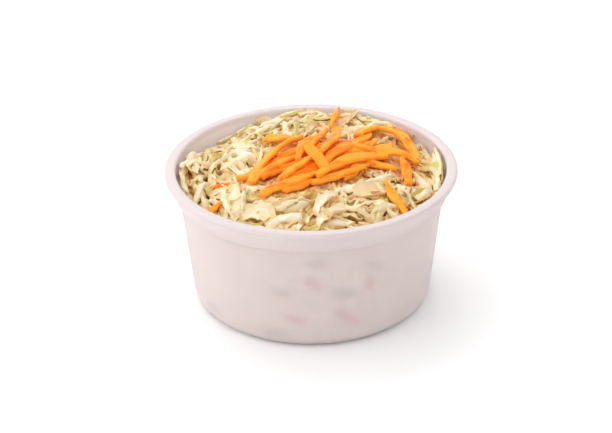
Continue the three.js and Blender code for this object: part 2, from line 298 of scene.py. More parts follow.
# %% Height of the heap
EDGE_LEVEL = CUP_HEIGHT - 10.0
CROWN_LEVEL = CUP_HEIGHT - 1.5
END_RISE = 4.2
BACK_SLOPE = 0.025
LUMP = 1.2
LUMP_SPACING_X, LUMP_SPACING_Y = 57.0, 48.0
LUMP_SHIFT_X, LUMP_SHIFT_Y = 8, 3
RISE_POWER = 8  # how closely the rises below keep to the wall
# Where the heap stands against the wall or falls away: direction from the front, rise, spread.
WALL_RISES = [(-97, 5.5, 13), (97, 6, 15), (152, 3.4, 12), (-133, -4, 11)]
INNER_WALL = wall_radius(COLLAR_Z) - SKIN
GOLDEN_ANGLE = math.pi * (3 - math.sqrt(5))


def heap_height(x, y):
    """Height of the cabbage under its loose top pieces."""
    bound = wall_radius(EDGE_LEVEL)
    reach = np.minimum(np.hypot(x, y) / bound, 1.0)
    dome = EDGE_LEVEL + (CROWN_LEVEL - EDGE_LEVEL) * (1 - reach ** 2)
    saddle = END_RISE * (y / bound) ** 2 + BACK_SLOPE * y
    heaped = 0.0
    for towards, rise, spread in WALL_RISES:
        turn = math.radians(towards) - np.arctan2(x, -y)
        along = bound * np.arctan2(np.sin(turn), np.cos(turn))
        heaped = heaped + rise * np.exp(-(along / spread) ** 2)
    across_x = 2 * math.pi * (x + LUMP_SHIFT_X) / LUMP_SPACING_X
    across_y = 2 * math.pi * (y - LUMP_SHIFT_Y) / LUMP_SPACING_Y
    lumps = LUMP * np.sin(across_x) * np.cos(across_y)
    return dome + saddle + heaped * reach ** RISE_POWER + lumps


print("heap at the middle", round(float(heap_height(0.0, 0.0)), 1))

# %% [markdown]
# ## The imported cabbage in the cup
# Below the surface the cabbage is pressed against the wall, so through the plastic it reads as
# one cream mass with soft streaks, where a carrot shred or a green edge touches the wall. This
# core is pulled like the cup, reaches just into the wall so that no air gap shows, and its top
# is hollowed a few millimetres to make room for the loose pieces. Each corner stores how near
# it is to a streak, and the material colours by that.

# %% Pull the core
CORE_SIDES = 160
INTO_WALL = 0.15
REACH_IN = SKIN - INTO_WALL
SHOULDER_Z, TOP_Z = COLLAR_Z - 1.5, COLLAR_Z + 6  # it follows the heap between these two
SIDE_RINGS, SHOULDER_RINGS, TOP_RINGS = 27, 5, 34


def pull_core():
    """The core, with its top still flat, and the radius of the top's edge."""
    foot = (WALL_AT_FOOT - REACH_IN, REACH_IN + 0.2)
    heights = [*np.linspace(6, SHOULDER_Z, SIDE_RINGS), *np.linspace(COLLAR_Z + 1, TOP_Z, SHOULDER_RINGS)]
    side = [(wall_radius(z) - REACH_IN, z) for z in heights]
    edge = side[-1][0]
    top = [(radius, TOP_Z) for radius in np.linspace(edge - 1.5, 1.5, TOP_RINGS)]
    first = (FOOT_INSIDE, FLOOR_DISH + SKIN - INTO_WALL)
    core = start_disc("packed_cabbage", *first, CORE_SIDES)
    pull([foot, *side, *top], first)
    heel_reach = 4.2
    round_rings(core, [(*foot, heel_reach, 6)])
    finish_shell(core, angle=60)
    return core, edge


core, core_edge = pull_core()

# %% Fit the core to the heap
LOOSE_DEPTH = 2.8  # depth of loose pieces over the core, in the middle of the cup
EDGE_DEPTH = 1.2  # and at the wall
RIPPLE = 0.8


def inner_face(z):
    """How far out food may reach: the wall's inner face, and a little into the skin."""
    step = COLLAR_STEP * smooth_step((z - COLLAR_Z) / COLLAR_STEP)
    return WALL_AT_FOOT + TAPER * z + step - SKIN + INTO_WALL


def core_level(x, y):
    """Top of the core under a point: it leaves room for the loose pieces."""
    inward = smooth_step((INNER_WALL - 1 - np.hypot(x, y)) / 8)
    # Ripples 7 to 8 mm long, whose rows wander so that no pattern shows.
    wave_x, wave_y = 0.9 * x + 2 * np.sin(0.31 * y), 0.8 * y + 1.7 * np.sin(0.27 * x)
    ripple = RIPPLE * np.sin(wave_x) * np.sin(wave_y)
    return heap_height(x, y) - EDGE_DEPTH - (LOOSE_DEPTH - EDGE_DEPTH + ripple) * inward


def read_corners(mesh):
    """The corners as Blender stores them, in metres."""
    flat = np.zeros(len(mesh.vertices) * 3, np.float32)
    mesh.vertices.foreach_get("co", flat)
    return flat.reshape(-1, 3).astype(float)


def fit_core():
    """Draws the corners above the shoulder to the heap's own level, along the wall."""
    corners = read_corners(core.data) / MM
    x, y, z = corners.T
    radius = np.hypot(x, y)
    share = np.clip((z - SHOULDER_Z) / (TOP_Z - SHOULDER_Z), 0, 1)
    raised = share > 0.01
    on_top = raised & (radius < core_edge - 1)
    level = np.where(raised, SHOULDER_Z + share * (core_level(x, y) - SHOULDER_Z), z)
    at_wall = inner_face(level) / np.maximum(radius, 1)
    corners[:, :2] *= np.where(raised & ~on_top, at_wall, 1.0)[:, None]
    corners[:, 2] = level
    core.data.vertices.foreach_set("co", (corners * MM).astype(np.float32).ravel())
    core.data.update()
    return corners, on_top


core_corners, core_on_top = fit_core()
print("core reaches", round(float(core_corners[:, 2].max()), 1), "mm up")

# %% Streaks where shreds press on the wall
# Each is an angle from the front, a height, slope, length and width.
CARROT_STREAKS = [
    (0.5, 31, -36, 6, 2.0), (-8, 13.5, -20, 5, 1.6), (15.5, 14, -42, 11, 2.0), (26, 28, -80, 5, 1.6),
    (45, 49, -80, 5, 1.6),
]
GREEN_STREAKS = [
    (2.5, 40.2, -5, 5, 2.0), (27, 36, -20, 6, 2.2), (-14.5, 26, -12, 6, 2.0), (13.5, 25.5, -15, 8, 2.4),
    (-18, 5.5, 0, 8, 2.2), (-54, 8, 0, 6, 2.0),
]


def more_streaks(rng, count, widths):
    """Streaks round the side and back, where they fall by chance."""
    return [(rng.uniform(60, 300), rng.uniform(6, 44), rng.uniform(-70, 70),
             rng.uniform(4, 11), rng.uniform(*widths)) for _ in range(count)]


def streak_share(streaks):
    """How strongly each corner of the side is coloured by the nearest streak, from 0 to 1."""
    strength, even_part, end_blur = 1.2, 0.4, 2.5
    x, y, z = core_corners.T
    angle = np.degrees(np.arctan2(x, -y))
    radius = np.hypot(x, y)
    share = np.zeros(len(core_corners))
    for middle, height, slope, length, width in streaks:
        turn = (angle - middle + 180) % 360 - 180
        across, up = np.radians(turn) * radius, z - height
        cos, sin = math.cos(math.radians(slope)), math.sin(math.radians(slope))
        along, aside = across * cos + up * sin, up * cos - across * sin
        past_end = np.clip(np.abs(along) - even_part * length, 0, None)
        blur = np.exp(-past_end ** 2 / end_blur - (aside / width) ** 2)
        share = np.maximum(share, strength * blur)
    return np.minimum(share, 1.0)


def set_attribute(mesh, name, values):
    mesh.attributes.new(name, "FLOAT", "POINT").data.foreach_set(
        "value", np.asarray(values, np.float32))


def store_streaks():
    rng = np.random.default_rng(5)
    carrots = CARROT_STREAKS + more_streaks(rng, 11, (1.4, 2.2))
    greens = GREEN_STREAKS + more_streaks(rng, 16, (1.8, 2.6))
    for name, streaks in (("carrot_share", carrots), ("green_share", greens)):
        set_attribute(core.data, name, np.where(core_on_top, 0, streak_share(streaks)))
        print(name, "has", len(streaks), "streaks")
    set_attribute(core.data, "on_top", core_on_top)


store_streaks()


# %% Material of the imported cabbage
def packed_cabbage():
    material, tree, shader = new_material("packed_cabbage_in_dressing")
    place = add_node(tree, "TexCoord").outputs["Object"]
    patches = add_node(tree, "TexNoise", {"Vector": place, "Scale": 1 / (9 * MM), "Detail": 3.0})
    green, carrot, on_top = (add_node(tree, "Attribute", attribute_name=key).outputs["Fac"]
                             for key in ("green_share", "carrot_share", "on_top"))
    # Painted shade: the core's top shows only in the gaps between loose pieces, so on_top paints it a warm
    # straw shade.
    colour = colour_in_layers(tree, "#f2ddc8", [
        (patches, "#fbf2ec"), (green, "#b6ae98"), (carrot, "#e8442c"), (on_top, "#f6cc84")])
    set_inputs(tree, shader, {"Base Color": colour, "Roughness": 0.5, "IOR": 1.36})
    return material


dress(packed_cabbage(), core)

# %% [markdown]
# ## Two cut pieces, modelled once
# All that lies on top is one of two shapes: a strip, which is a grated carrot shred or a
# narrow cut of cabbage, and a flake, which is a wider thin piece of leaf. A long shred of leaf
# is a flake with more cuts along its length. Each is modelled once by hand, one unit long, wide
# and thick, with few faces, because it is repeated hundreds of times. A finer version of each
# serves for the pieces that are seen one by one.


# %% Model the strip and the flake
def read_template(piece):
    """The corners, from 0 to 1 along and from -1 to 1 across and through, and the faces."""
    corners = read_corners(piece.data)
    corners[:, 0] += 0.5
    corners[:, 1:] *= 2
    faces = [tuple(face.vertices) for face in piece.data.polygons]
    bpy.data.objects.remove(piece)
    print("a template with", len(faces), "faces")
    return corners, faces


def runs_along(edge):
    return abs(edge.verts[1].co.x - edge.verts[0].co.x) > 0.5


def strip_template(cuts, segments, rounding):
    """A unit bar with its long edges rounded and cut into short lengths."""
    end_inset, end_swell = 0.12, 0.012
    deselect()
    bpy.ops.mesh.primitive_cube_add(size=1)
    piece = bpy.context.object
    bpy.ops.object.mode_set(mode="EDIT")
    bpy.ops.mesh.select_mode(type="EDGE")
    select_where(piece, "edges", runs_along)
    bpy.ops.mesh.bevel(offset=rounding, segments=segments)
    select_where(piece, "edges", runs_along)
    bpy.ops.mesh.subdivide(number_cuts=cuts)
    bpy.ops.mesh.select_mode(type="FACE")
    for side in (-1, 1):
        select_where(piece, "faces", lambda face: face.normal.x * side > 0.9)
        bpy.ops.mesh.inset(thickness=end_inset)
        bpy.ops.transform.translate(value=(end_swell * side, 0, 0))
    bpy.ops.object.mode_set(mode="OBJECT")
    return read_template(piece)


def flake_template(columns, rows):
    """A unit sheet with both faces split alike."""
    deselect()
    bpy.ops.mesh.primitive_grid_add(x_subdivisions=columns, y_subdivisions=rows, size=1)
    piece = bpy.context.object
    thicken = piece.modifiers.new("skin", "SOLIDIFY")
    thicken.thickness = 1.0
    thicken.offset = 0.0
    bpy.ops.object.modifier_apply(modifier=thicken.name)
    return read_template(piece)


STRIP, FINE_STRIP = strip_template(9, 1, 0.22), strip_template(24, 2, 0.26)
FLAKE, TOP_FLAKE, FINE_FLAKE = flake_template(8, 3), flake_template(11, 4), flake_template(20, 9)
LONG_SHRED, FINE_SHRED = flake_template(16, 3), flake_template(26, 5)

# %% [markdown]
# ## Bending a piece into life
# No two cut pieces are alike. Each copy is swept along its own curve: it turns in plan, arches,
# twists about its length and curls across, its two edges wander, and its ends taper. The
# function below bends a unit piece that way, and hundreds of copies join into one mesh.

# %% Bend a unit piece
TAPERED = 0.45  # the share of the length over which each end tapers
THINNED = 0.45  # the share of the thickness that a thin edge loses
CURVE_POINTS = 81


def bend_piece(unit, form):
    """Corners of one piece in millimetres, about its own middle, with its length along X."""
    along, across, through = unit.T
    length, phase = form["length"], form["phase"]
    start, end = form["taper"]
    grow = smooth_step(along / TAPERED) * (1 - start) + start
    fade = smooth_step((1 - along) / TAPERED) * (1 - end) + end
    x = along * length
    # The two edges wander apart, in slow waves with quicker ones on them.
    edge = np.sin(0.5 * x + phase + 2.1 * np.sign(across))
    edge += 0.35 * np.sin(1.2 * x + 2.7 * phase - np.sign(across))
    half = 0.5 * form["width"] * grow * fade * (1 + form["wander"] * edge)
    y = across * half
    # The middle line turns in plan and arches, and runs on past both ends for a slanted cut.
    step = np.linspace(-0.5, 1.5, CURVE_POINTS)
    turn, pitch = form["bend"] * (step - 0.5), -form["arch"] * (step - 0.5)
    way = np.stack([np.cos(turn) * np.cos(pitch), np.sin(turn) * np.cos(pitch), np.sin(pitch)], 1)
    line = np.cumsum(way, 0) * length * (step[1] - step[0])
    line -= line[len(step) // 2]
    at = along + form["slant"] * y / length
    middle, forward = (np.stack([np.interp(at, step, part[:, k]) for k in range(3)], 1)
                       for part in (line, way))
    turned = form["bend"] * (at - 0.5)
    side = np.stack([-np.sin(turned), np.cos(turned), np.zeros_like(at)], 1)
    up = np.cross(forward, side)
    # Across, it is thinner at its edges, curls, crinkles, and has a frill along one edge.
    skin = 0.5 * form["thickness"] * through * (1 - THINNED * across ** 2 * form["thin_edge"])
    lift = form["curl"] * half * (across ** 2 - 0.35)
    lift += form["crinkle"] * np.sin(0.8 * x + 0.5 * y + phase)
    lift += 0.7 * form["crinkle"] * np.sin(0.45 * x - 0.9 * y + 2 * phase)
    lift += form["frill"] * np.sin(0.8 * x + 3 * phase) * np.clip(across, 0, 1) ** 2
    z = skin + lift
    roll = form["roll"] + form["twist"] * (along - 0.5)
    y, z = y * np.cos(roll) - z * np.sin(roll), y * np.sin(roll) + z * np.cos(roll)
    return middle + side * y[:, None] + up * z[:, None]


def bend_at(shape, form, x, y, heading):
    """A template bent to a form, turned to a heading in plan and moved to a place."""
    along, across, up = bend_piece(shape[0], form).T
    cos, sin = math.cos(heading), math.sin(heading)
    return np.stack([along * cos - across * sin + x, along * sin + across * cos + y, up], 1)


# %% Join bent pieces into one mesh
PATTERN_SLIDE = (40, 9)  # moves the pattern along and across, so that no two pieces share it


def join_pieces(name, pieces):
    """One mesh from many bent pieces. Each is its template, corners, form and stored values."""
    faces, uv, values = [], [], {}
    count = 0
    for (unit, unit_faces), placed, form, facts in pieces:
        faces += [tuple(i + count for i in face) for face in unit_faces]
        count += len(placed)
        uv.append(np.stack([
            unit[:, 0] * form["length"] + PATTERN_SLIDE[0] * form["phase"],
            unit[:, 1] * form["width"] / 2 + PATTERN_SLIDE[1] * form["phase"]], 1))
        rim = np.maximum(np.abs(unit[:, 1]) ** 3, np.abs(2 * unit[:, 0] - 1) ** 8)
        side, under = np.clip(unit[:, 1], 0, 1), np.clip(-unit[:, 2], 0, 1)
        for key, value in {**facts, "rim": rim, "side": side, "under": under}.items():
            values.setdefault(key, []).append(np.broadcast_to(value, len(placed)))
    corners = np.concatenate([placed for _, placed, _, _ in pieces])
    mesh = bpy.data.meshes.new(name)
    mesh.from_pydata((corners * MM).tolist(), [], faces)
    for key, parts in values.items():
        set_attribute(mesh, key, np.concatenate(parts))
    loops = np.zeros(len(mesh.loops), np.int32)
    mesh.loops.foreach_get("vertex_index", loops)
    cut = mesh.uv_layers.new(name="cut")
    cut.data.foreach_set("uv", np.concatenate(uv)[loops].astype(np.float32).ravel())
    piece = bpy.data.objects.new(name, mesh)
    bpy.context.scene.collection.objects.link(piece)
    deselect()
    piece.select_set(True)
    bpy.context.view_layer.objects.active = piece
    bpy.ops.object.mode_set(mode="EDIT")
    finish_shell(piece, angle=55)
    print(name, len(pieces), "pieces,", sum(len(face) - 2 for face in faces), "triangles")
    return piece


# %% [markdown]
# ## The carrot heap
# The garnish is raw carrot, pushed along a coarse grater: strips of one to four centimetres
# with a flat lens section, lying across each other from the lower left to the upper right. The
# ones that are seen one by one are listed, from the top of the pile down to the cabbage.
# Several dozen more lie under them by a rule, so that the pile is dense and no gap shows.

# %% Where the carrot lies
# Middle x, middle y, heading, bend, length, width, height over the heap, rise of the far end,
# tone from deep orange to golden.
CARROT_LAYOUT = [
    (-12, 21, -8, 2, 12, 4, 3.6, 0, 0.8),
    (-17, 5, 61, -43, 41, 3.6, 4.4, 1, 0.75),
    (-23, -7, 21, 70, 13, 3.4, 3.2, 0.6, 0.7),
    (-16, -5, 44, -63, 25, 3.4, 4.4, 1, 0.5),
    (-8, 8, 30, 59, 12, 2.6, 3.4, 0, 0.1),
    (-3, 7, 74, -21, 22, 3.6, 6, 0, 0.45),
    (-6, -8, 49, -16, 19, 4.2, 5, 1, 0.65),
    (2, -4, -64, 11, 17, 3.6, 7.2, -1.6, 0.5),
    (-9, -18, 34, -5, 25, 3.4, 3.8, 1, 0.6),
    (-5, -18, 35, -2, 14, 3, 2.8, 0.4, 0.4),
    (9, 12, 76, 34, 32, 4, 6.4, -1.6, 0.55),
    (3, 19, 73, -12, 22, 3.4, 5.2, -0.8, 0.6),
    (10, 43, 78, -6, 18, 2, 3.6, -0.6, 0.9),
    (11, 3, 59, -2, 20, 3.8, 5.8, -0.6, 0.4),
    (20, 19, 51, -5, 15, 3, 4, 0.4, 0.9),
    (30, 30, -2, -150, 27, 4.6, 5, 0, 1.0),
    (40, 19, -70, -26, 21, 3.4, 4.6, -0.6, 0.8),
    (22, 12, -7, 4, 17, 3.4, 4.2, 0, 0.5),
    (39, 33, -60, -26, 7, 2.8, 3.4, 0, 0.4),
    (16, -3, 39, -10, 36, 3.6, 6, -1.4, 0.75),
    (35, 11, -4, -110, 19, 3, 5, -1, 0.85),
    (12, -12, 29, 28, 24, 3.8, 4.6, 0.6, 0.55),
    (38, -2, -85, -9, 20, 3.8, 4.4, -1, 0.5),
    (0, -4, 44, 25, 15, 3.8, 4, 0, 0.0),
]
CARROT_THICKNESS = 2.6
UNDER_COUNT, UNDER_LIFT = 46, 3.0
UNDER_MIDDLE, UNDER_HALF, UNDER_TURN = (6.0, 3.0), (25.0, 12.0), math.radians(20)
GOLDEN_FROM_X = 16  # the right of the pile is more golden
print(len(CARROT_LAYOUT), "shreds laid by hand,", UNDER_COUNT, "under them")


# %% Lay the carrot
def carrot_form(rng, length, width, bend):
    return {
        "length": length, "width": 1.15 * width, "thickness": CARROT_THICKNESS * rng.uniform(0.75, 1.0),
        "bend": math.radians(bend), "arch": rng.uniform(0.0, 0.3), "twist": rng.uniform(-0.8, 0.8),
        "roll": rng.uniform(-0.4, 0.4), "curl": rng.uniform(0.0, 0.2), "slant": rng.uniform(-0.9, 0.9),
        "taper": (rng.uniform(0.45, 0.95), rng.uniform(0.45, 0.95)), "wander": 0.08,
        "crinkle": 0.14, "frill": 0.0, "phase": rng.uniform(0, 6.28), "thin_edge": 0.6,
    }


def rows_under(rng):
    """Rows like those of the layout, spread evenly over a turned oval."""
    rows = []
    cos, sin = math.cos(UNDER_TURN), math.sin(UNDER_TURN)
    for k in range(UNDER_COUNT):
        reach, angle = math.sqrt((k + 0.5) / UNDER_COUNT), k * GOLDEN_ANGLE
        away = np.array(UNDER_HALF) * reach * np.array([math.cos(angle), math.sin(angle)])
        x = UNDER_MIDDLE[0] + away[0] * cos - away[1] * sin
        y = UNDER_MIDDLE[1] + away[0] * sin + away[1] * cos
        golden = rng.uniform(0, 0.5) + (0.5 if x > GOLDEN_FROM_X else 0.0)
        heading, bend = rng.uniform(0, 75), rng.uniform(-40, 40)
        length, width = rng.uniform(12, 22), rng.uniform(2.8, 3.8)
        rows.append((x, y, heading, bend, length, width, UNDER_LIFT + rng.uniform(-0.6, 0.8), 0, golden))
    return rows


def lay_carrot():
    """Each shred follows the heap's form, at a height of its own over it."""
    rng = np.random.default_rng(11)
    pieces = []
    for x, y, heading, bend, length, width, lift, rise, tone in CARROT_LAYOUT + rows_under(rng):
        form = carrot_form(rng, length, width, bend)
        placed = bend_at(FINE_STRIP, form, x, y, math.radians(heading))
        along = FINE_STRIP[0][:, 0]
        placed[:, 2] += heap_height(placed[:, 0], placed[:, 1]) + lift + rise * (along - 0.5)
        pieces.append((FINE_STRIP, placed, form, {"tone": tone}))
    return pieces


carrot_pieces = lay_carrot()
carrot = join_pieces("carrot_shreds", carrot_pieces)

# %% [markdown]
# ## Letting the cabbage fall into place
# A heap looks right when every piece rests on the ones below it. Simulating hundreds of soft
# pieces is slow, so this keeps a map of the heap's height instead. Each new piece takes the
# lowest spot of a few, leans with the surface under it, sinks until half of it touches, and
# then raises the map. A second map is a ceiling: it keeps the pieces under the garnish, and
# below the two free spaces beside the heap where a fork goes in. The wall holds them in.

# %% The height maps
CELL = 1.25
CELLS = 96
PIECES_ABOVE = 1.6  # the loose pieces' middle surface lies this far over the heap function
OPEN_SKY = 1000.0
CLEARANCE = 0.3  # between a piece and the ceiling
# Free spaces beside the heap, where a fork goes in: low x, high x, low y, high y, floor.
FREE_SPACES = [(-39, -34.5, 23, 35.5, 51.0), (43.5, 48, 13, 22, 50.9)]


def cell_of(x, y):
    i = np.clip(((x / CELL) + CELLS / 2).astype(int), 0, CELLS - 1)
    j = np.clip(((y / CELL) + CELLS / 2).astype(int), 0, CELLS - 1)
    return i, j


middles = (np.arange(CELLS) + 0.5 - CELLS / 2) * CELL
GRID_X, GRID_Y = np.meshgrid(middles, middles, indexing="ij")
# The pieces stand a millimetre higher where they meet the wall at the left and right.
at_side = np.exp(-(GRID_Y / 16) ** 2) * smooth_step((np.hypot(GRID_X, GRID_Y) - INNER_WALL + 6) / 5)
target = heap_height(GRID_X, GRID_Y) + PIECES_ABOVE + at_side
ceiling = np.full_like(target, OPEN_SKY)
for _, placed, _, _ in carrot_pieces:
    np.minimum.at(ceiling, cell_of(placed[:, 0], placed[:, 1]), placed[:, 2])
under_garnish = ceiling < OPEN_SKY
for low_x, high_x, low_y, high_y, floor_z in FREE_SPACES:
    in_x = (GRID_X > low_x - CELL) & (GRID_X < high_x + CELL)
    in_y = (GRID_Y > low_y - CELL) & (GRID_Y < high_y + CELL)
    ceiling[in_x & in_y] = np.minimum(ceiling[in_x & in_y], floor_z + 0.2)
target = np.minimum(target, ceiling - CLEARANCE)
heap_now = core_level(GRID_X, GRID_Y)
print("cells under the garnish", int(under_garnish.sum()), "of", CELLS ** 2)

# %% Settle a piece
ROOM = INNER_WALL + COLLAR_STEP + 5 * TAPER - 0.1  # radius between the walls 5 mm over the collar
SOFT_EDGE = 1.4
TURNED_UP = 0.5  # the share of what the wall pushes back that turns up along it
STEEPEST = 0.6
MOST_DRAPE = 2.0


def held_in(corners):
    """Corners past the wall are turned up along it."""
    radius = np.hypot(corners[:, 0], corners[:, 1])
    over = np.clip(radius - (ROOM - SOFT_EDGE), 0, None)
    kept = (ROOM - SOFT_EDGE) + SOFT_EDGE * (1 - np.exp(-over / SOFT_EDGE))
    scale = np.where(over > 0, kept / np.maximum(radius, 1e-6), 1.0)
    out = corners.copy()
    out[:, :2] *= scale[:, None]
    out[:, 2] += TURNED_UP * (radius - radius * scale)
    return out


def kept_inside(corners):
    """Corners that still reach into the skin of the cup are drawn back to its inner face."""
    radius = np.hypot(corners[:, 0], corners[:, 1])
    back = np.minimum(1.0, inner_face(corners[:, 2]) / np.maximum(radius, 1e-6))
    corners[:, :2] *= back[:, None]
    return corners


def settle(corners, x, y, drape, sink, lean=(0.0, 0.0)):
    """Lowers a piece onto the heap and returns it, with its mean and top over the target."""
    corners = held_in(corners)
    i, j = cell_of(corners[:, 0], corners[:, 1])
    under = heap_now[i, j]
    across = np.stack([corners[:, 0] - x, corners[:, 1] - y, np.ones(len(corners))], 1)
    slope, *_ = np.linalg.lstsq(across, under, rcond=None)
    slope[:2] = np.clip(slope[:2], -STEEPEST, STEEPEST)
    bed = across[:, :2] @ (slope[:2] + np.array(lean))
    follow = drape * np.clip(under - across @ slope, -MOST_DRAPE, MOST_DRAPE)
    corners[:, 2] += bed + follow
    corners[:, 2] += np.quantile(under - corners[:, 2], sink)
    low_roof = (corners[:, 2] - (ceiling[i, j] - CLEARANCE)).max()
    corners[:, 2] -= max(low_roof, 0.0)
    above = corners[:, 2] - target[i, j]
    return kept_inside(corners), float(above.mean()), float(above.max())


def raise_heap(corners):
    np.maximum.at(heap_now, cell_of(corners[:, 0], corners[:, 1]), corners[:, 2])


print("the wall leaves a radius of", round(ROOM, 2))

# %% [markdown]
# ## The kinds of cut cabbage
# A shredded head gives wide flakes of thin leaf, narrow strips, long soft shreds, thick white
# pieces of rib and a few green bits of outer leaf. Each kind is one joined mesh with a range for
# every size. The flakes, strips and ribs fill the heap, the long shreds drape over them, and
# the last strips close its gaps.

# %% Draw the forms
KINDS = {
    "cabbage_flakes": dict(
        length=(9, 19), width=(2.6, 4.8), thickness=(0.5, 0.9), arch=(-0.5, 1.0), curl=(0.5, 1.3),
        taper=(0.1, 0.8), bend=70, twist=1.0, roll=0.6, wander=0.1, crinkle=0.3, frill=0.4,
        thin_edge=0.6, drape=0.4),
    "cabbage_strips": dict(
        length=(11, 25), width=(1.4, 2.8), thickness=(0.8, 1.3), arch=(-0.5, 1.0), curl=(0.1, 0.8),
        taper=(0.2, 0.9), bend=90, twist=1.3, roll=0.7, wander=0.1, crinkle=0.25, frill=0.2,
        thin_edge=0.6, drape=0.5),
    "cabbage_ribs": dict(
        length=(6, 12), width=(2.4, 3.8), thickness=(1.5, 2.3), arch=(-0.3, 0.6), curl=(0.1, 0.5),
        taper=(0.5, 1.0), bend=35, twist=0.6, roll=0.8, wander=0.08, crinkle=0.12, frill=0.0,
        thin_edge=0.6, drape=0.1),
    "long_shreds": dict(
        length=(16, 30), width=(2.0, 3.6), thickness=(0.5, 0.9), arch=(0.0, 0.8), curl=(0.3, 0.9),
        taper=(0.25, 0.85), bend=80, twist=0.8, roll=0.5, wander=0.08, crinkle=0.2, frill=0.25,
        thin_edge=0.6, drape=0.7),
    "green_bits": dict(
        length=(5, 12), width=(1.2, 2.8), thickness=(0.6, 0.9), arch=(-0.6, 1.4), curl=(0.2, 0.8),
        taper=(0.2, 1.0), bend=70, twist=1.3, roll=0.8, wander=0.12, crinkle=0.3, frill=0.3,
        thin_edge=0.4, drape=0.3),
}
DEEP_SHAPE = {"cabbage_flakes": FLAKE, "cabbage_strips": STRIP, "cabbage_ribs": STRIP, "green_bits": FLAKE}
TOP_SHAPE = {**DEEP_SHAPE, "cabbage_flakes": TOP_FLAKE, "long_shreds": LONG_SHRED}
print("kinds of cabbage:", *KINDS)


def draw_form(rng, kind, **fixed):
    """One form drawn from a kind's ranges. Fixed values replace drawn ones."""
    ranges = KINDS[kind]
    either = {key: rng.uniform(-ranges[key], ranges[key]) for key in ("twist", "roll")}
    spans = {key: rng.uniform(*ranges[key]) for key in ("length", "width", "thickness", "arch", "curl")}
    form = {
        **either, **spans, "bend": math.radians(rng.uniform(-ranges["bend"], ranges["bend"])),
        "slant": rng.uniform(-1.2, 1.2), "taper": rng.uniform(*ranges["taper"], 2),
        "phase": rng.uniform(0, 6.28),
        **{key: ranges[key] for key in ("wander", "crinkle", "frill", "thin_edge")},
    }
    if rng.uniform() < 0.5:
        form["curl"] = -form["curl"]
    return {**form, **fixed}


# %% Find a place for a piece
TRIES = 30
heap_pieces = {kind: [] for kind in KINDS}


def lowest_spot(rng, margin):
    """The place, of a few tries, where the heap is furthest under its target."""
    reach = (INNER_WALL - margin) * np.sqrt(rng.uniform(size=TRIES))
    angle = rng.uniform(0, 2 * math.pi, TRIES)
    x, y = reach * np.cos(angle), reach * np.sin(angle)
    i, j = cell_of(x, y)
    gap = target - heap_now
    near = sum(gap[np.clip(i + a, 0, CELLS - 1), np.clip(j + b, 0, CELLS - 1)]
               for a in (-2, 0, 2) for b in (-2, 0, 2))
    best = int(np.argmax(near))
    return x[best], y[best]


def heading_at(rng, x, y):
    """Any heading in the middle, and along the wall near it."""
    wall = math.atan2(y, x) + math.pi / 2
    loose = math.pi / 2 if math.hypot(x, y) < 0.72 * INNER_WALL else 0.75
    return wall + rng.uniform(-loose, loose)


def place_piece(rng, kind, shape, form, x, y, heading, highest):
    """Settles one piece, unless it would stand too high."""
    corners = bend_at(shape, form, x, y, heading)
    lean = rng.uniform(-0.3, 0.3, 2)
    placed, mean_above, top_above = settle(corners, x, y, KINDS[kind]["drape"], 0.5, lean)
    facts = {"tone": rng.uniform() ** 0.6, "green": rng.uniform() ** 1.15}
    if mean_above < highest and top_above < highest + 2.0:
        raise_heap(placed)
        heap_pieces[kind].append((shape, placed, form, facts))


def scatter(rng, kind, shape, count, highest):
    """Pieces of one kind, each at the lowest spot of a few."""
    for _ in range(count):
        form = draw_form(rng, kind)
        x, y = lowest_spot(rng, 0.3 * form["width"] + 0.5)
        place_piece(rng, kind, shape, form, x, y, heading_at(rng, x, y), highest)


def line_wall(rng, count, highest):
    """Pieces that lie along the wall, bent as it is, so that the heap meets the cup."""
    for k in range(count):
        kind = ("cabbage_strips", "cabbage_flakes", "cabbage_strips", "green_bits")[k % 4]
        form = draw_form(rng, kind)
        reach = INNER_WALL - rng.uniform(0.0, 2.0)
        form["bend"] = form["length"] / reach + rng.uniform(-0.2, 0.2)
        form["roll"], form["twist"] = rng.uniform(-0.3, 0.3), rng.uniform(-0.5, 0.5)
        angle = k * GOLDEN_ANGLE
        heading = angle + math.pi / 2 + rng.uniform(-0.3, 0.3)
        x, y = reach * math.cos(angle), reach * math.sin(angle)
        place_piece(rng, kind, TOP_SHAPE[kind], form, x, y, heading, highest)


# %% Fill the heap
ROUNDS = 6
FILL = [("cabbage_ribs", 72), ("cabbage_flakes", 180), ("cabbage_strips", 150)]
TOP = [("cabbage_flakes", 110), ("cabbage_strips", 380), ("cabbage_ribs", 60), ("green_bits", 110)]
LAST = [("long_shreds", 200), ("cabbage_strips", 70)]
WALL_FILL, WALL_TOP = 24, 16
# How far over the target a piece may stand: in the fill, at the wall, on top and at the last.
FILL_HIGH, WALL_HIGH, TOP_HIGH, LAST_HIGH = 0.2, 1.0, 0.9, 1.6


def fill_heap():
    rng = np.random.default_rng(20)
    for _ in range(ROUNDS):
        for kind, count in FILL:
            scatter(rng, kind, DEEP_SHAPE[kind], count // ROUNDS, FILL_HIGH)
        line_wall(rng, WALL_FILL, FILL_HIGH)
    for _ in range(ROUNDS):
        line_wall(rng, WALL_TOP, WALL_HIGH)
        for kind, count in TOP:
            scatter(rng, kind, TOP_SHAPE[kind], count // ROUNDS, TOP_HIGH)
    for kind, count in LAST:
        scatter(rng, kind, TOP_SHAPE[kind], count, LAST_HIGH)
    print("pieces laid", {kind: len(pieces) for kind, pieces in heap_pieces.items()})


fill_heap()
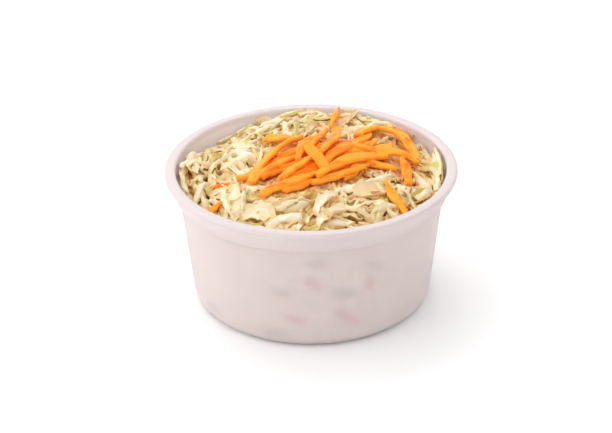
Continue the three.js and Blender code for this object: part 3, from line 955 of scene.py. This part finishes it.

# %% [markdown]
# ## Pieces that are seen one by one
# The flakes and shreds in front and round the garnish give this heap its character, so they are
# laid one by one from lists on top of the rest, with the finer unit pieces. A few bits of carrot
# are mixed in.

# %% Where the single pieces lie
# Middle x, middle y, heading, bend, length, width, roll, greenness.
FLAKE_LAYOUT = [
    (-28, 21, -43, 15, 15, 3.4, 20, 0.3),
    (-28, 15, -43, 24, 16, 6, 0, 0.2),
    (-30, 7, 28, -60, 15, 7, 15, 0.1),
    (-41, 20, -84, 12, 20, 3, 50, 0.9),
    (-48, 3, -58, 30, 9, 4.5, 20, 0.1),
    (-44, 6, 45, -5, 10, 5, 0, 0.2),
    (-39, -7, -86, -60, 12, 5, 10, 0.1),
    (-44, -13, 73, -50, 13, 3.8, 30, 0.2),
    (-30, -24, -83, -12, 22, 9, 15, 0.2),
    (-23, -17, -32, 25, 12, 4.5, 0, 0.1),
    (-11, -27, 33, 11, 23, 9, -25, 0.1),
    (-20, -35, -11, -60, 13, 10, 10, 0.2),
    (-7, -33, 3, 80, 14, 7, 0, 0.6),
    (-10, -40, 0, -80, 13, 7, 20, 0.2),
    (4, -29, 64, -61, 19, 4.5, 30, 0.1),
    (7, -40, 40, -50, 14, 8, 0, 0.2),
    (16, -18, 1, -90, 15, 6, -15, 0.1),
    (24, -22, 9, 31, 14, 9, 10, 0.2),
    (17, -36, -28, 60, 11, 6, 0, 0.3),
    (27, -32, 32, -46, 11, 4, 20, 0.5),
    (44, -9, -72, -5, 16, 8, 25, 0.0),
    (43, -19, 47, -5, 13, 5.5, 0, 0.7),
    (36, -17, 59, -17, 13, 6, 15, 0.2),
    (27, -9, 36, 13, 14, 4, 20, 0.0),
    (-18, 37, 53, 60, 21, 5, 20, 0.4),
    (-16, 46, 28, -100, 13, 8, 0, 0.2),
    (-1, 33, 55, -43, 15, 4, 20, 0.3),
    (16, 43, 54, 6, 12, 4, 20, 0.1),
    (19, 33, 16, -32, 13, 7, 0, 0.4),
    (28, 40, 11, -90, 16, 4, 30, 0.3),
    (47, 4, -57, -60, 16, 6.5, 20, 0.6),
]
# The same for long narrow shreds: middle x, middle y, heading, bend, length, width, greenness.
SHRED_LAYOUT = [
    (50, 3, -87, 1, 18, 2.6, 0.3),
    (51.5, 5, -89, -7, 22, 2.2, 0.6),
    (49, -4, -87, -10, 19, 3.0, 0.2),
    (48, 0, -57, -68, 16, 4, 0.9),
    (44, -18, 51, 8, 11, 4, 0.9),
    (38, -24, -59, -8, 10, 1.3, 0.3),
    (12, -29, -74, -18, 10, 1.5, 0.8),
    (4, -30, 68, -54, 20, 4, 0.2),
    (-36, -15, -10, -205, 10, 2, 0.1),
    (-15, 29, 78, 5, 12, 2.2, 0.2),
    (-12, 29, 78, 4, 11, 2.2, 0.6),
    (-43, 21, 88, -3, 26, 2, 1.0),
    (-28, 47, -59, -36, 6, 3, 1.0),
    (-50, 17, -64, 38, 16, 4, 0.1),
    (-50, 11, 77, 8, 19, 4, 0.2),
    (-28, 20, -45, 16, 15, 3, 0.5),
    (-28, 14, -41, 36, 14, 4, 0.2),
    (1, 51, -5, -56, 12, 2, 0.3),
    (-20, 51, 9, -96, 8, 4, 0.1),
    (13, 49, 1, -96, 10, 4, 0.1),
    (26, 46, -10, -155, 6, 4, 1.0),
    (20, 34, -1, -75, 11, 5, 0.1),
    (-9, -30, 25, 20, 18, 2.2, 0.9),
    (-6, -32, 12, 35, 15, 2, 1.0),
    (-11, -34, 5, 30, 12, 2, 0.6),
    (-34, -22, -80, 15, 18, 2.6, 0.6),
    (-26, -25, -88, -20, 17, 2.2, 0.9),
    (22, -28, 20, -40, 16, 2.4, 0.5),
    (31, -23, -30, 30, 15, 2.2, 0.8),
]
# Middle x, middle y, heading, bend, length, width.
MIXED_CARROT_LAYOUT = [
    (33, -27, -66, 20, 17, 4.4),
    (-40, -29, 62, -70, 15, 3.6),
    (-36, -9, 5, -30, 9, 3.2),
    (34, 40, -40, 10, 9, 3),
]
print(len(FLAKE_LAYOUT), "flakes,", len(SHRED_LAYOUT), "shreds,", len(MIXED_CARROT_LAYOUT), "of carrot")


# %% Lay the single pieces
def lay_by_hand(shape, form, x, y, heading, drape, sink):
    """One piece, settled at a place and heading of its own."""
    corners = bend_at(shape, form, x, y, math.radians(heading))
    placed = settle(corners, x, y, drape, sink)[0]
    raise_heap(placed)
    return shape, placed, form


def lay_single_flakes():
    rng = np.random.default_rng(31)
    for x, y, heading, bend, length, width, roll, green in FLAKE_LAYOUT:
        form = draw_form(rng, "cabbage_flakes", length=1.1 * length, width=0.7 * width,
                         bend=math.radians(bend), roll=math.radians(roll), wander=0.14, frill=0.6,
                         thickness=0.7, crinkle=0.35, arch=rng.uniform(0.0, 0.9),
                         taper=rng.uniform(0.3, 0.8, 2))
        laid = lay_by_hand(FINE_FLAKE, form, x, y, heading, drape=0.3, sink=0.7)
        heap_pieces["cabbage_flakes"].append((*laid, {"tone": rng.uniform(0.3, 0.9), "green": green}))


def lay_single_shreds():
    rng = np.random.default_rng(37)
    for x, y, heading, bend, length, width, green in SHRED_LAYOUT:
        form = draw_form(rng, "long_shreds", length=length, width=width, bend=math.radians(bend))
        laid = lay_by_hand(FINE_SHRED, form, x, y, heading, drape=0.4, sink=0.6)
        heap_pieces["long_shreds"].append((*laid, {"tone": rng.uniform(0.5, 1.0), "green": green}))


def lay_mixed_carrot():
    rng = np.random.default_rng(13)
    pieces = []
    for x, y, heading, bend, length, width in MIXED_CARROT_LAYOUT:
        form = carrot_form(rng, length, width, bend)
        laid = lay_by_hand(FINE_STRIP, form, x, y, heading, drape=0.3, sink=0.7)
        pieces.append((*laid, {"tone": rng.uniform()}))
    return pieces


lay_single_flakes()
lay_single_shreds()
mixed_pieces = lay_mixed_carrot()
print("heap reaches", round(float(heap_now.max()), 1), "mm up")

# %% Join each kind
# Deep in the heap the cabbage is painted a warm shade, which is full at this depth under the surface.
FULL_DEPTH = 3.0  # how far under the surface a corner is in full depth


def blurred(grid, passes):
    for _ in range(passes):
        padded = np.pad(grid, 1, mode="edge")
        grid = sum(padded[a:a + CELLS, b:b + CELLS] for a in range(3) for b in range(3)) / 9
    return grid


def with_depth(pieces):
    """Adds how deep each corner lies in the heap and how near it is to the garnish, from 0 to 1."""
    surface = blurred(heap_now, 3)
    # Under and near the garnish the leaf is painted orange: partly carrot juice, partly painted shade and
    # orange light from the carrot.
    garnish = blurred(under_garnish.astype(float), 4)
    deeper = []
    for shape, placed, form, facts in pieces:
        cell = cell_of(placed[:, 0], placed[:, 1])
        depth = np.clip((surface[cell] - placed[:, 2]) / FULL_DEPTH, 0, 1)
        deeper.append((shape, placed, form, {**facts, "depth": depth, "stain_and_shade": garnish[cell]}))
    return deeper


cabbage = {kind: join_pieces(kind, with_depth(pieces)) for kind, pieces in heap_pieces.items()}
mixed_carrot = join_pieces("mixed_carrot", with_depth(mixed_pieces))

# %% [markdown]
# ## Cut cabbage in dressing
# White cabbage is nearly colourless: cream where it is thick, yellow-green towards one edge of
# a leaf. It lets light through and its shade is warm, so its underside, its thin rim and all that
# lies deep in the heap are painted a warm straw colour: painted shade, and painted light where
# light comes through. Scattering inside each piece would give that, but it leaves grey outlines
# where pieces cross, so each corner stores these places and the colour follows them. Under and
# near the carrot the leaf is painted orange, partly its juice staining the leaf and partly painted
# shade and orange light thrown from the carrot. A thin film of dressing, which is a coat over the
# leaf, makes it gleam. The veins are 8 mm long and 1 mm apart, and soaked patches 6 by 5 mm.


# %% Material of the cabbage
def noise_along_cut(tree, length, width, detail):
    """Noise in patches of a length along the cut and a width across it, in millimetres."""
    cut = add_node(tree, "UVMap", uv_map="cut")
    place = add_node(tree, "Mapping", {"Vector": cut, "Scale": (1 / length, 1 / width, 1.0)})
    return add_node(tree, "TexNoise", {"Vector": place, "Scale": 1.0, "Detail": detail})


def cut_cabbage(name, flesh, green):
    material, tree, shader = new_material(name)
    facts = {key: add_node(tree, "Attribute", attribute_name=key).outputs["Fac"]
             for key in ("tone", "green", "side", "under", "rim", "depth", "stain_and_shade")}
    veins = noise_along_cut(tree, 8.333, 1.111, 2.0)
    patches = noise_along_cut(tree, 6.25, 5.0, 3.0)
    one_side = add_node(tree, "Math", {0: facts["side"], 1: 0.8, 2: 0.25}, operation="MULTIPLY_ADD")
    greener = add_node(tree, "Math", {0: facts["green"], 1: one_side}, operation="MULTIPLY")
    patchy = add_node(tree, "Math", {0: greener, 1: patches}, operation="MULTIPLY")
    leafy = add_node(tree, "MapRange", {"Value": patchy, "From Min": 0.06, "From Max": 0.3, "To Max": 0.9})
    soaked = add_node(tree, "MapRange", {"Value": patches, "From Min": 0.5, "From Max": 0.3, "To Max": 0.6})
    # Painted shade: the rim, the underside and what lies deep in the heap take warm straw colours.
    painted_shade = {key: add_node(tree, "Math", {0: facts[key], 1: most}, operation="MULTIPLY")
            for key, most in (("rim", 0.5), ("under", 0.7), ("stain_and_shade", 0.9))}
    colour = colour_in_layers(tree, flesh[0], [
        (facts["tone"], flesh[1]), (veins, flesh[2]), (soaked, "#e6c074"), (leafy, green),
        (painted_shade["rim"], "#ecd08a"), (painted_shade["under"], "#fad292"), (painted_shade["stain_and_shade"], "#fab458"),
        (facts["depth"], "#fcd084")])
    bump = add_node(tree, "Bump", {"Height": veins, "Strength": 0.35, "Distance": 0.3 * MM})
    set_inputs(tree, shader, {
        "Base Color": colour, "Normal": bump, "Roughness": 0.4, "IOR": 1.38,
        "Coat Weight": 0.5, "Coat Roughness": 0.2, "Coat IOR": 1.36})
    return material


# The flesh where it is deep and where it is pale, and its veins.
LEAF = ("#e6ca90", "#f5ebdc", "#f2e4ca")
RIB = ("#ead4a8", "#f4eee6", "#f2e8da")
OUTER_LEAF = ("#ccbe5c", "#dcd08c", "#d2c670")
# The finish of each kind: its name, its flesh, and the green towards one edge.
CABBAGE_FINISHES = {
    "cabbage_flakes": ("cut_cabbage_leaf", LEAF, "#b6b03a"),
    "cabbage_strips": ("cut_cabbage_strip", LEAF, "#b8b23e"),
    "long_shreds": ("cut_cabbage_shred", LEAF, "#b4b03a"),
    "cabbage_ribs": ("cut_cabbage_rib", RIB, "#d2c768"),
    "green_bits": ("cut_outer_leaf", OUTER_LEAF, "#a4982c"),
}
for kind, finish in CABBAGE_FINISHES.items():
    dress(cut_cabbage(*finish), cabbage[kind])

# %% [markdown]
# ## Raw carrot
# Fresh carrot is a clear orange, with fibres along the root that show as fine darker and lighter
# lines, 0.6 mm apart. Its cut edges are painted lighter, a painted highlight where the thin edges
# catch and pass light, and light travels about a millimetre inside the flesh, which softens its
# shadows. The cut face hardly gleams.


# %% Material of the carrot
def raw_carrot():
    material, tree, shader = new_material("grated_raw_carrot")
    shader.subsurface_method = "BURLEY"
    tone, rim = (add_node(tree, "Attribute", attribute_name=key).outputs["Fac"] for key in ("tone", "rim"))
    fibres = noise_along_cut(tree, 10.0, 0.625, 3.0)
    patches = noise_along_cut(tree, 7.143, 3.333, 2.0)
    deeper = add_node(tree, "MapRange", {"Value": patches, "From Min": 0.5, "From Max": 0.3, "To Max": 0.8})
    # Painted highlight: the rim of each shred is painted a lighter orange.
    paler = add_node(tree, "Math", {0: rim, 1: 0.3}, operation="MULTIPLY")
    colour = colour_in_layers(tree, "#f45e00", [
        (tone, "#ffcc54"), (fibres, "#fc8c0c"), (deeper, "#f45e00"), (paler, "#ffa836")])
    bump = add_node(tree, "Bump", {"Height": fibres, "Strength": 0.35, "Distance": 0.25 * MM})
    set_inputs(tree, shader, {
        "Base Color": colour, "Normal": bump, "Roughness": 0.45, "IOR": 1.38,
        "Specular IOR Level": 0.15, "Subsurface Weight": 0.8,
        "Subsurface Radius": (1.0, 0.6, 0.3), "Subsurface Scale": 1.0 * MM})
    return material


dress(raw_carrot(), carrot, mixed_carrot)

# %% [markdown]
# ## Ride on the one body, and hide the imported parts
# Nothing moves here, so every piece rides on the one body, and the imported parts are hidden.

# %% Ride and replace
for piece in (cup, core, carrot, mixed_carrot, *cabbage.values()):
    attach(piece, "root")
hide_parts("cup")
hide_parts("slaw")
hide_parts("carrot")

# %% [markdown]
# ## Light, floor and camera
# The tub stands on a white sweep in soft light. A broad lamp to the upper left makes one side
# of the cup brighter, a smaller one behind and above lights the top of the heap and the rim,
# and the white room fills the rest.

# %% Studio
# Name, place and size in metres, and power in watts.
LAMPS = [("key_lamp", (-1.5, -0.2, 0.75), 1.8, 13.0), ("top_lamp", (-0.3, 0.8, 1.2), 1.2, 7.0)]


def make_floor():
    deselect()
    bpy.ops.mesh.primitive_plane_add(size=6, location=(0, 0, 0))
    floor = bpy.context.object
    floor.name = "floor"
    material, tree, shader = new_material("white_sweep")
    set_inputs(tree, shader, {"Base Color": srgb("#f8f8f8"), "Roughness": 0.9})
    dress(material, floor)


def make_lights():
    world = bpy.data.worlds.new("white_room")
    world.use_nodes = True
    background = next(n for n in world.node_tree.nodes if n.type == "BACKGROUND")
    background.inputs["Color"].default_value = (1, 1, 1, 1)
    background.inputs["Strength"].default_value = 1.0
    bpy.context.scene.world = world
    for name, place, size, power in LAMPS:
        bpy.ops.object.light_add(type="AREA", location=place)
        lamp = bpy.context.object
        lamp.name = name
        lamp.data.size = size
        lamp.data.energy = power
        aim = Vector((0, 0, 0.04)) - Vector(place)
        lamp.rotation_euler = aim.to_track_quat("-Z", "Y").to_euler()


def make_camera():
    elevation, tilt, distance = math.radians(28.5), math.radians(-0.64), 0.7161
    aim = Vector((0, 0, 0.030))
    away = Vector((0, -math.cos(elevation), math.sin(elevation)))
    bpy.ops.object.camera_add(location=aim + distance * away)
    camera = bpy.context.object
    level = Matrix.Rotation(math.pi / 2 - elevation, 4, "X")
    camera.rotation_euler = (level @ Matrix.Rotation(tilt, 4, "Z")).to_euler()
    camera.data.lens = 103.66
    camera.data.shift_x, camera.data.shift_y = -0.00915, 0.0089
    bpy.context.scene.camera = camera


make_floor()
make_lights()
make_camera()
bpy.context.scene.view_settings.view_transform = "Standard"
print("lit by", [lamp[0] for lamp in LAMPS])
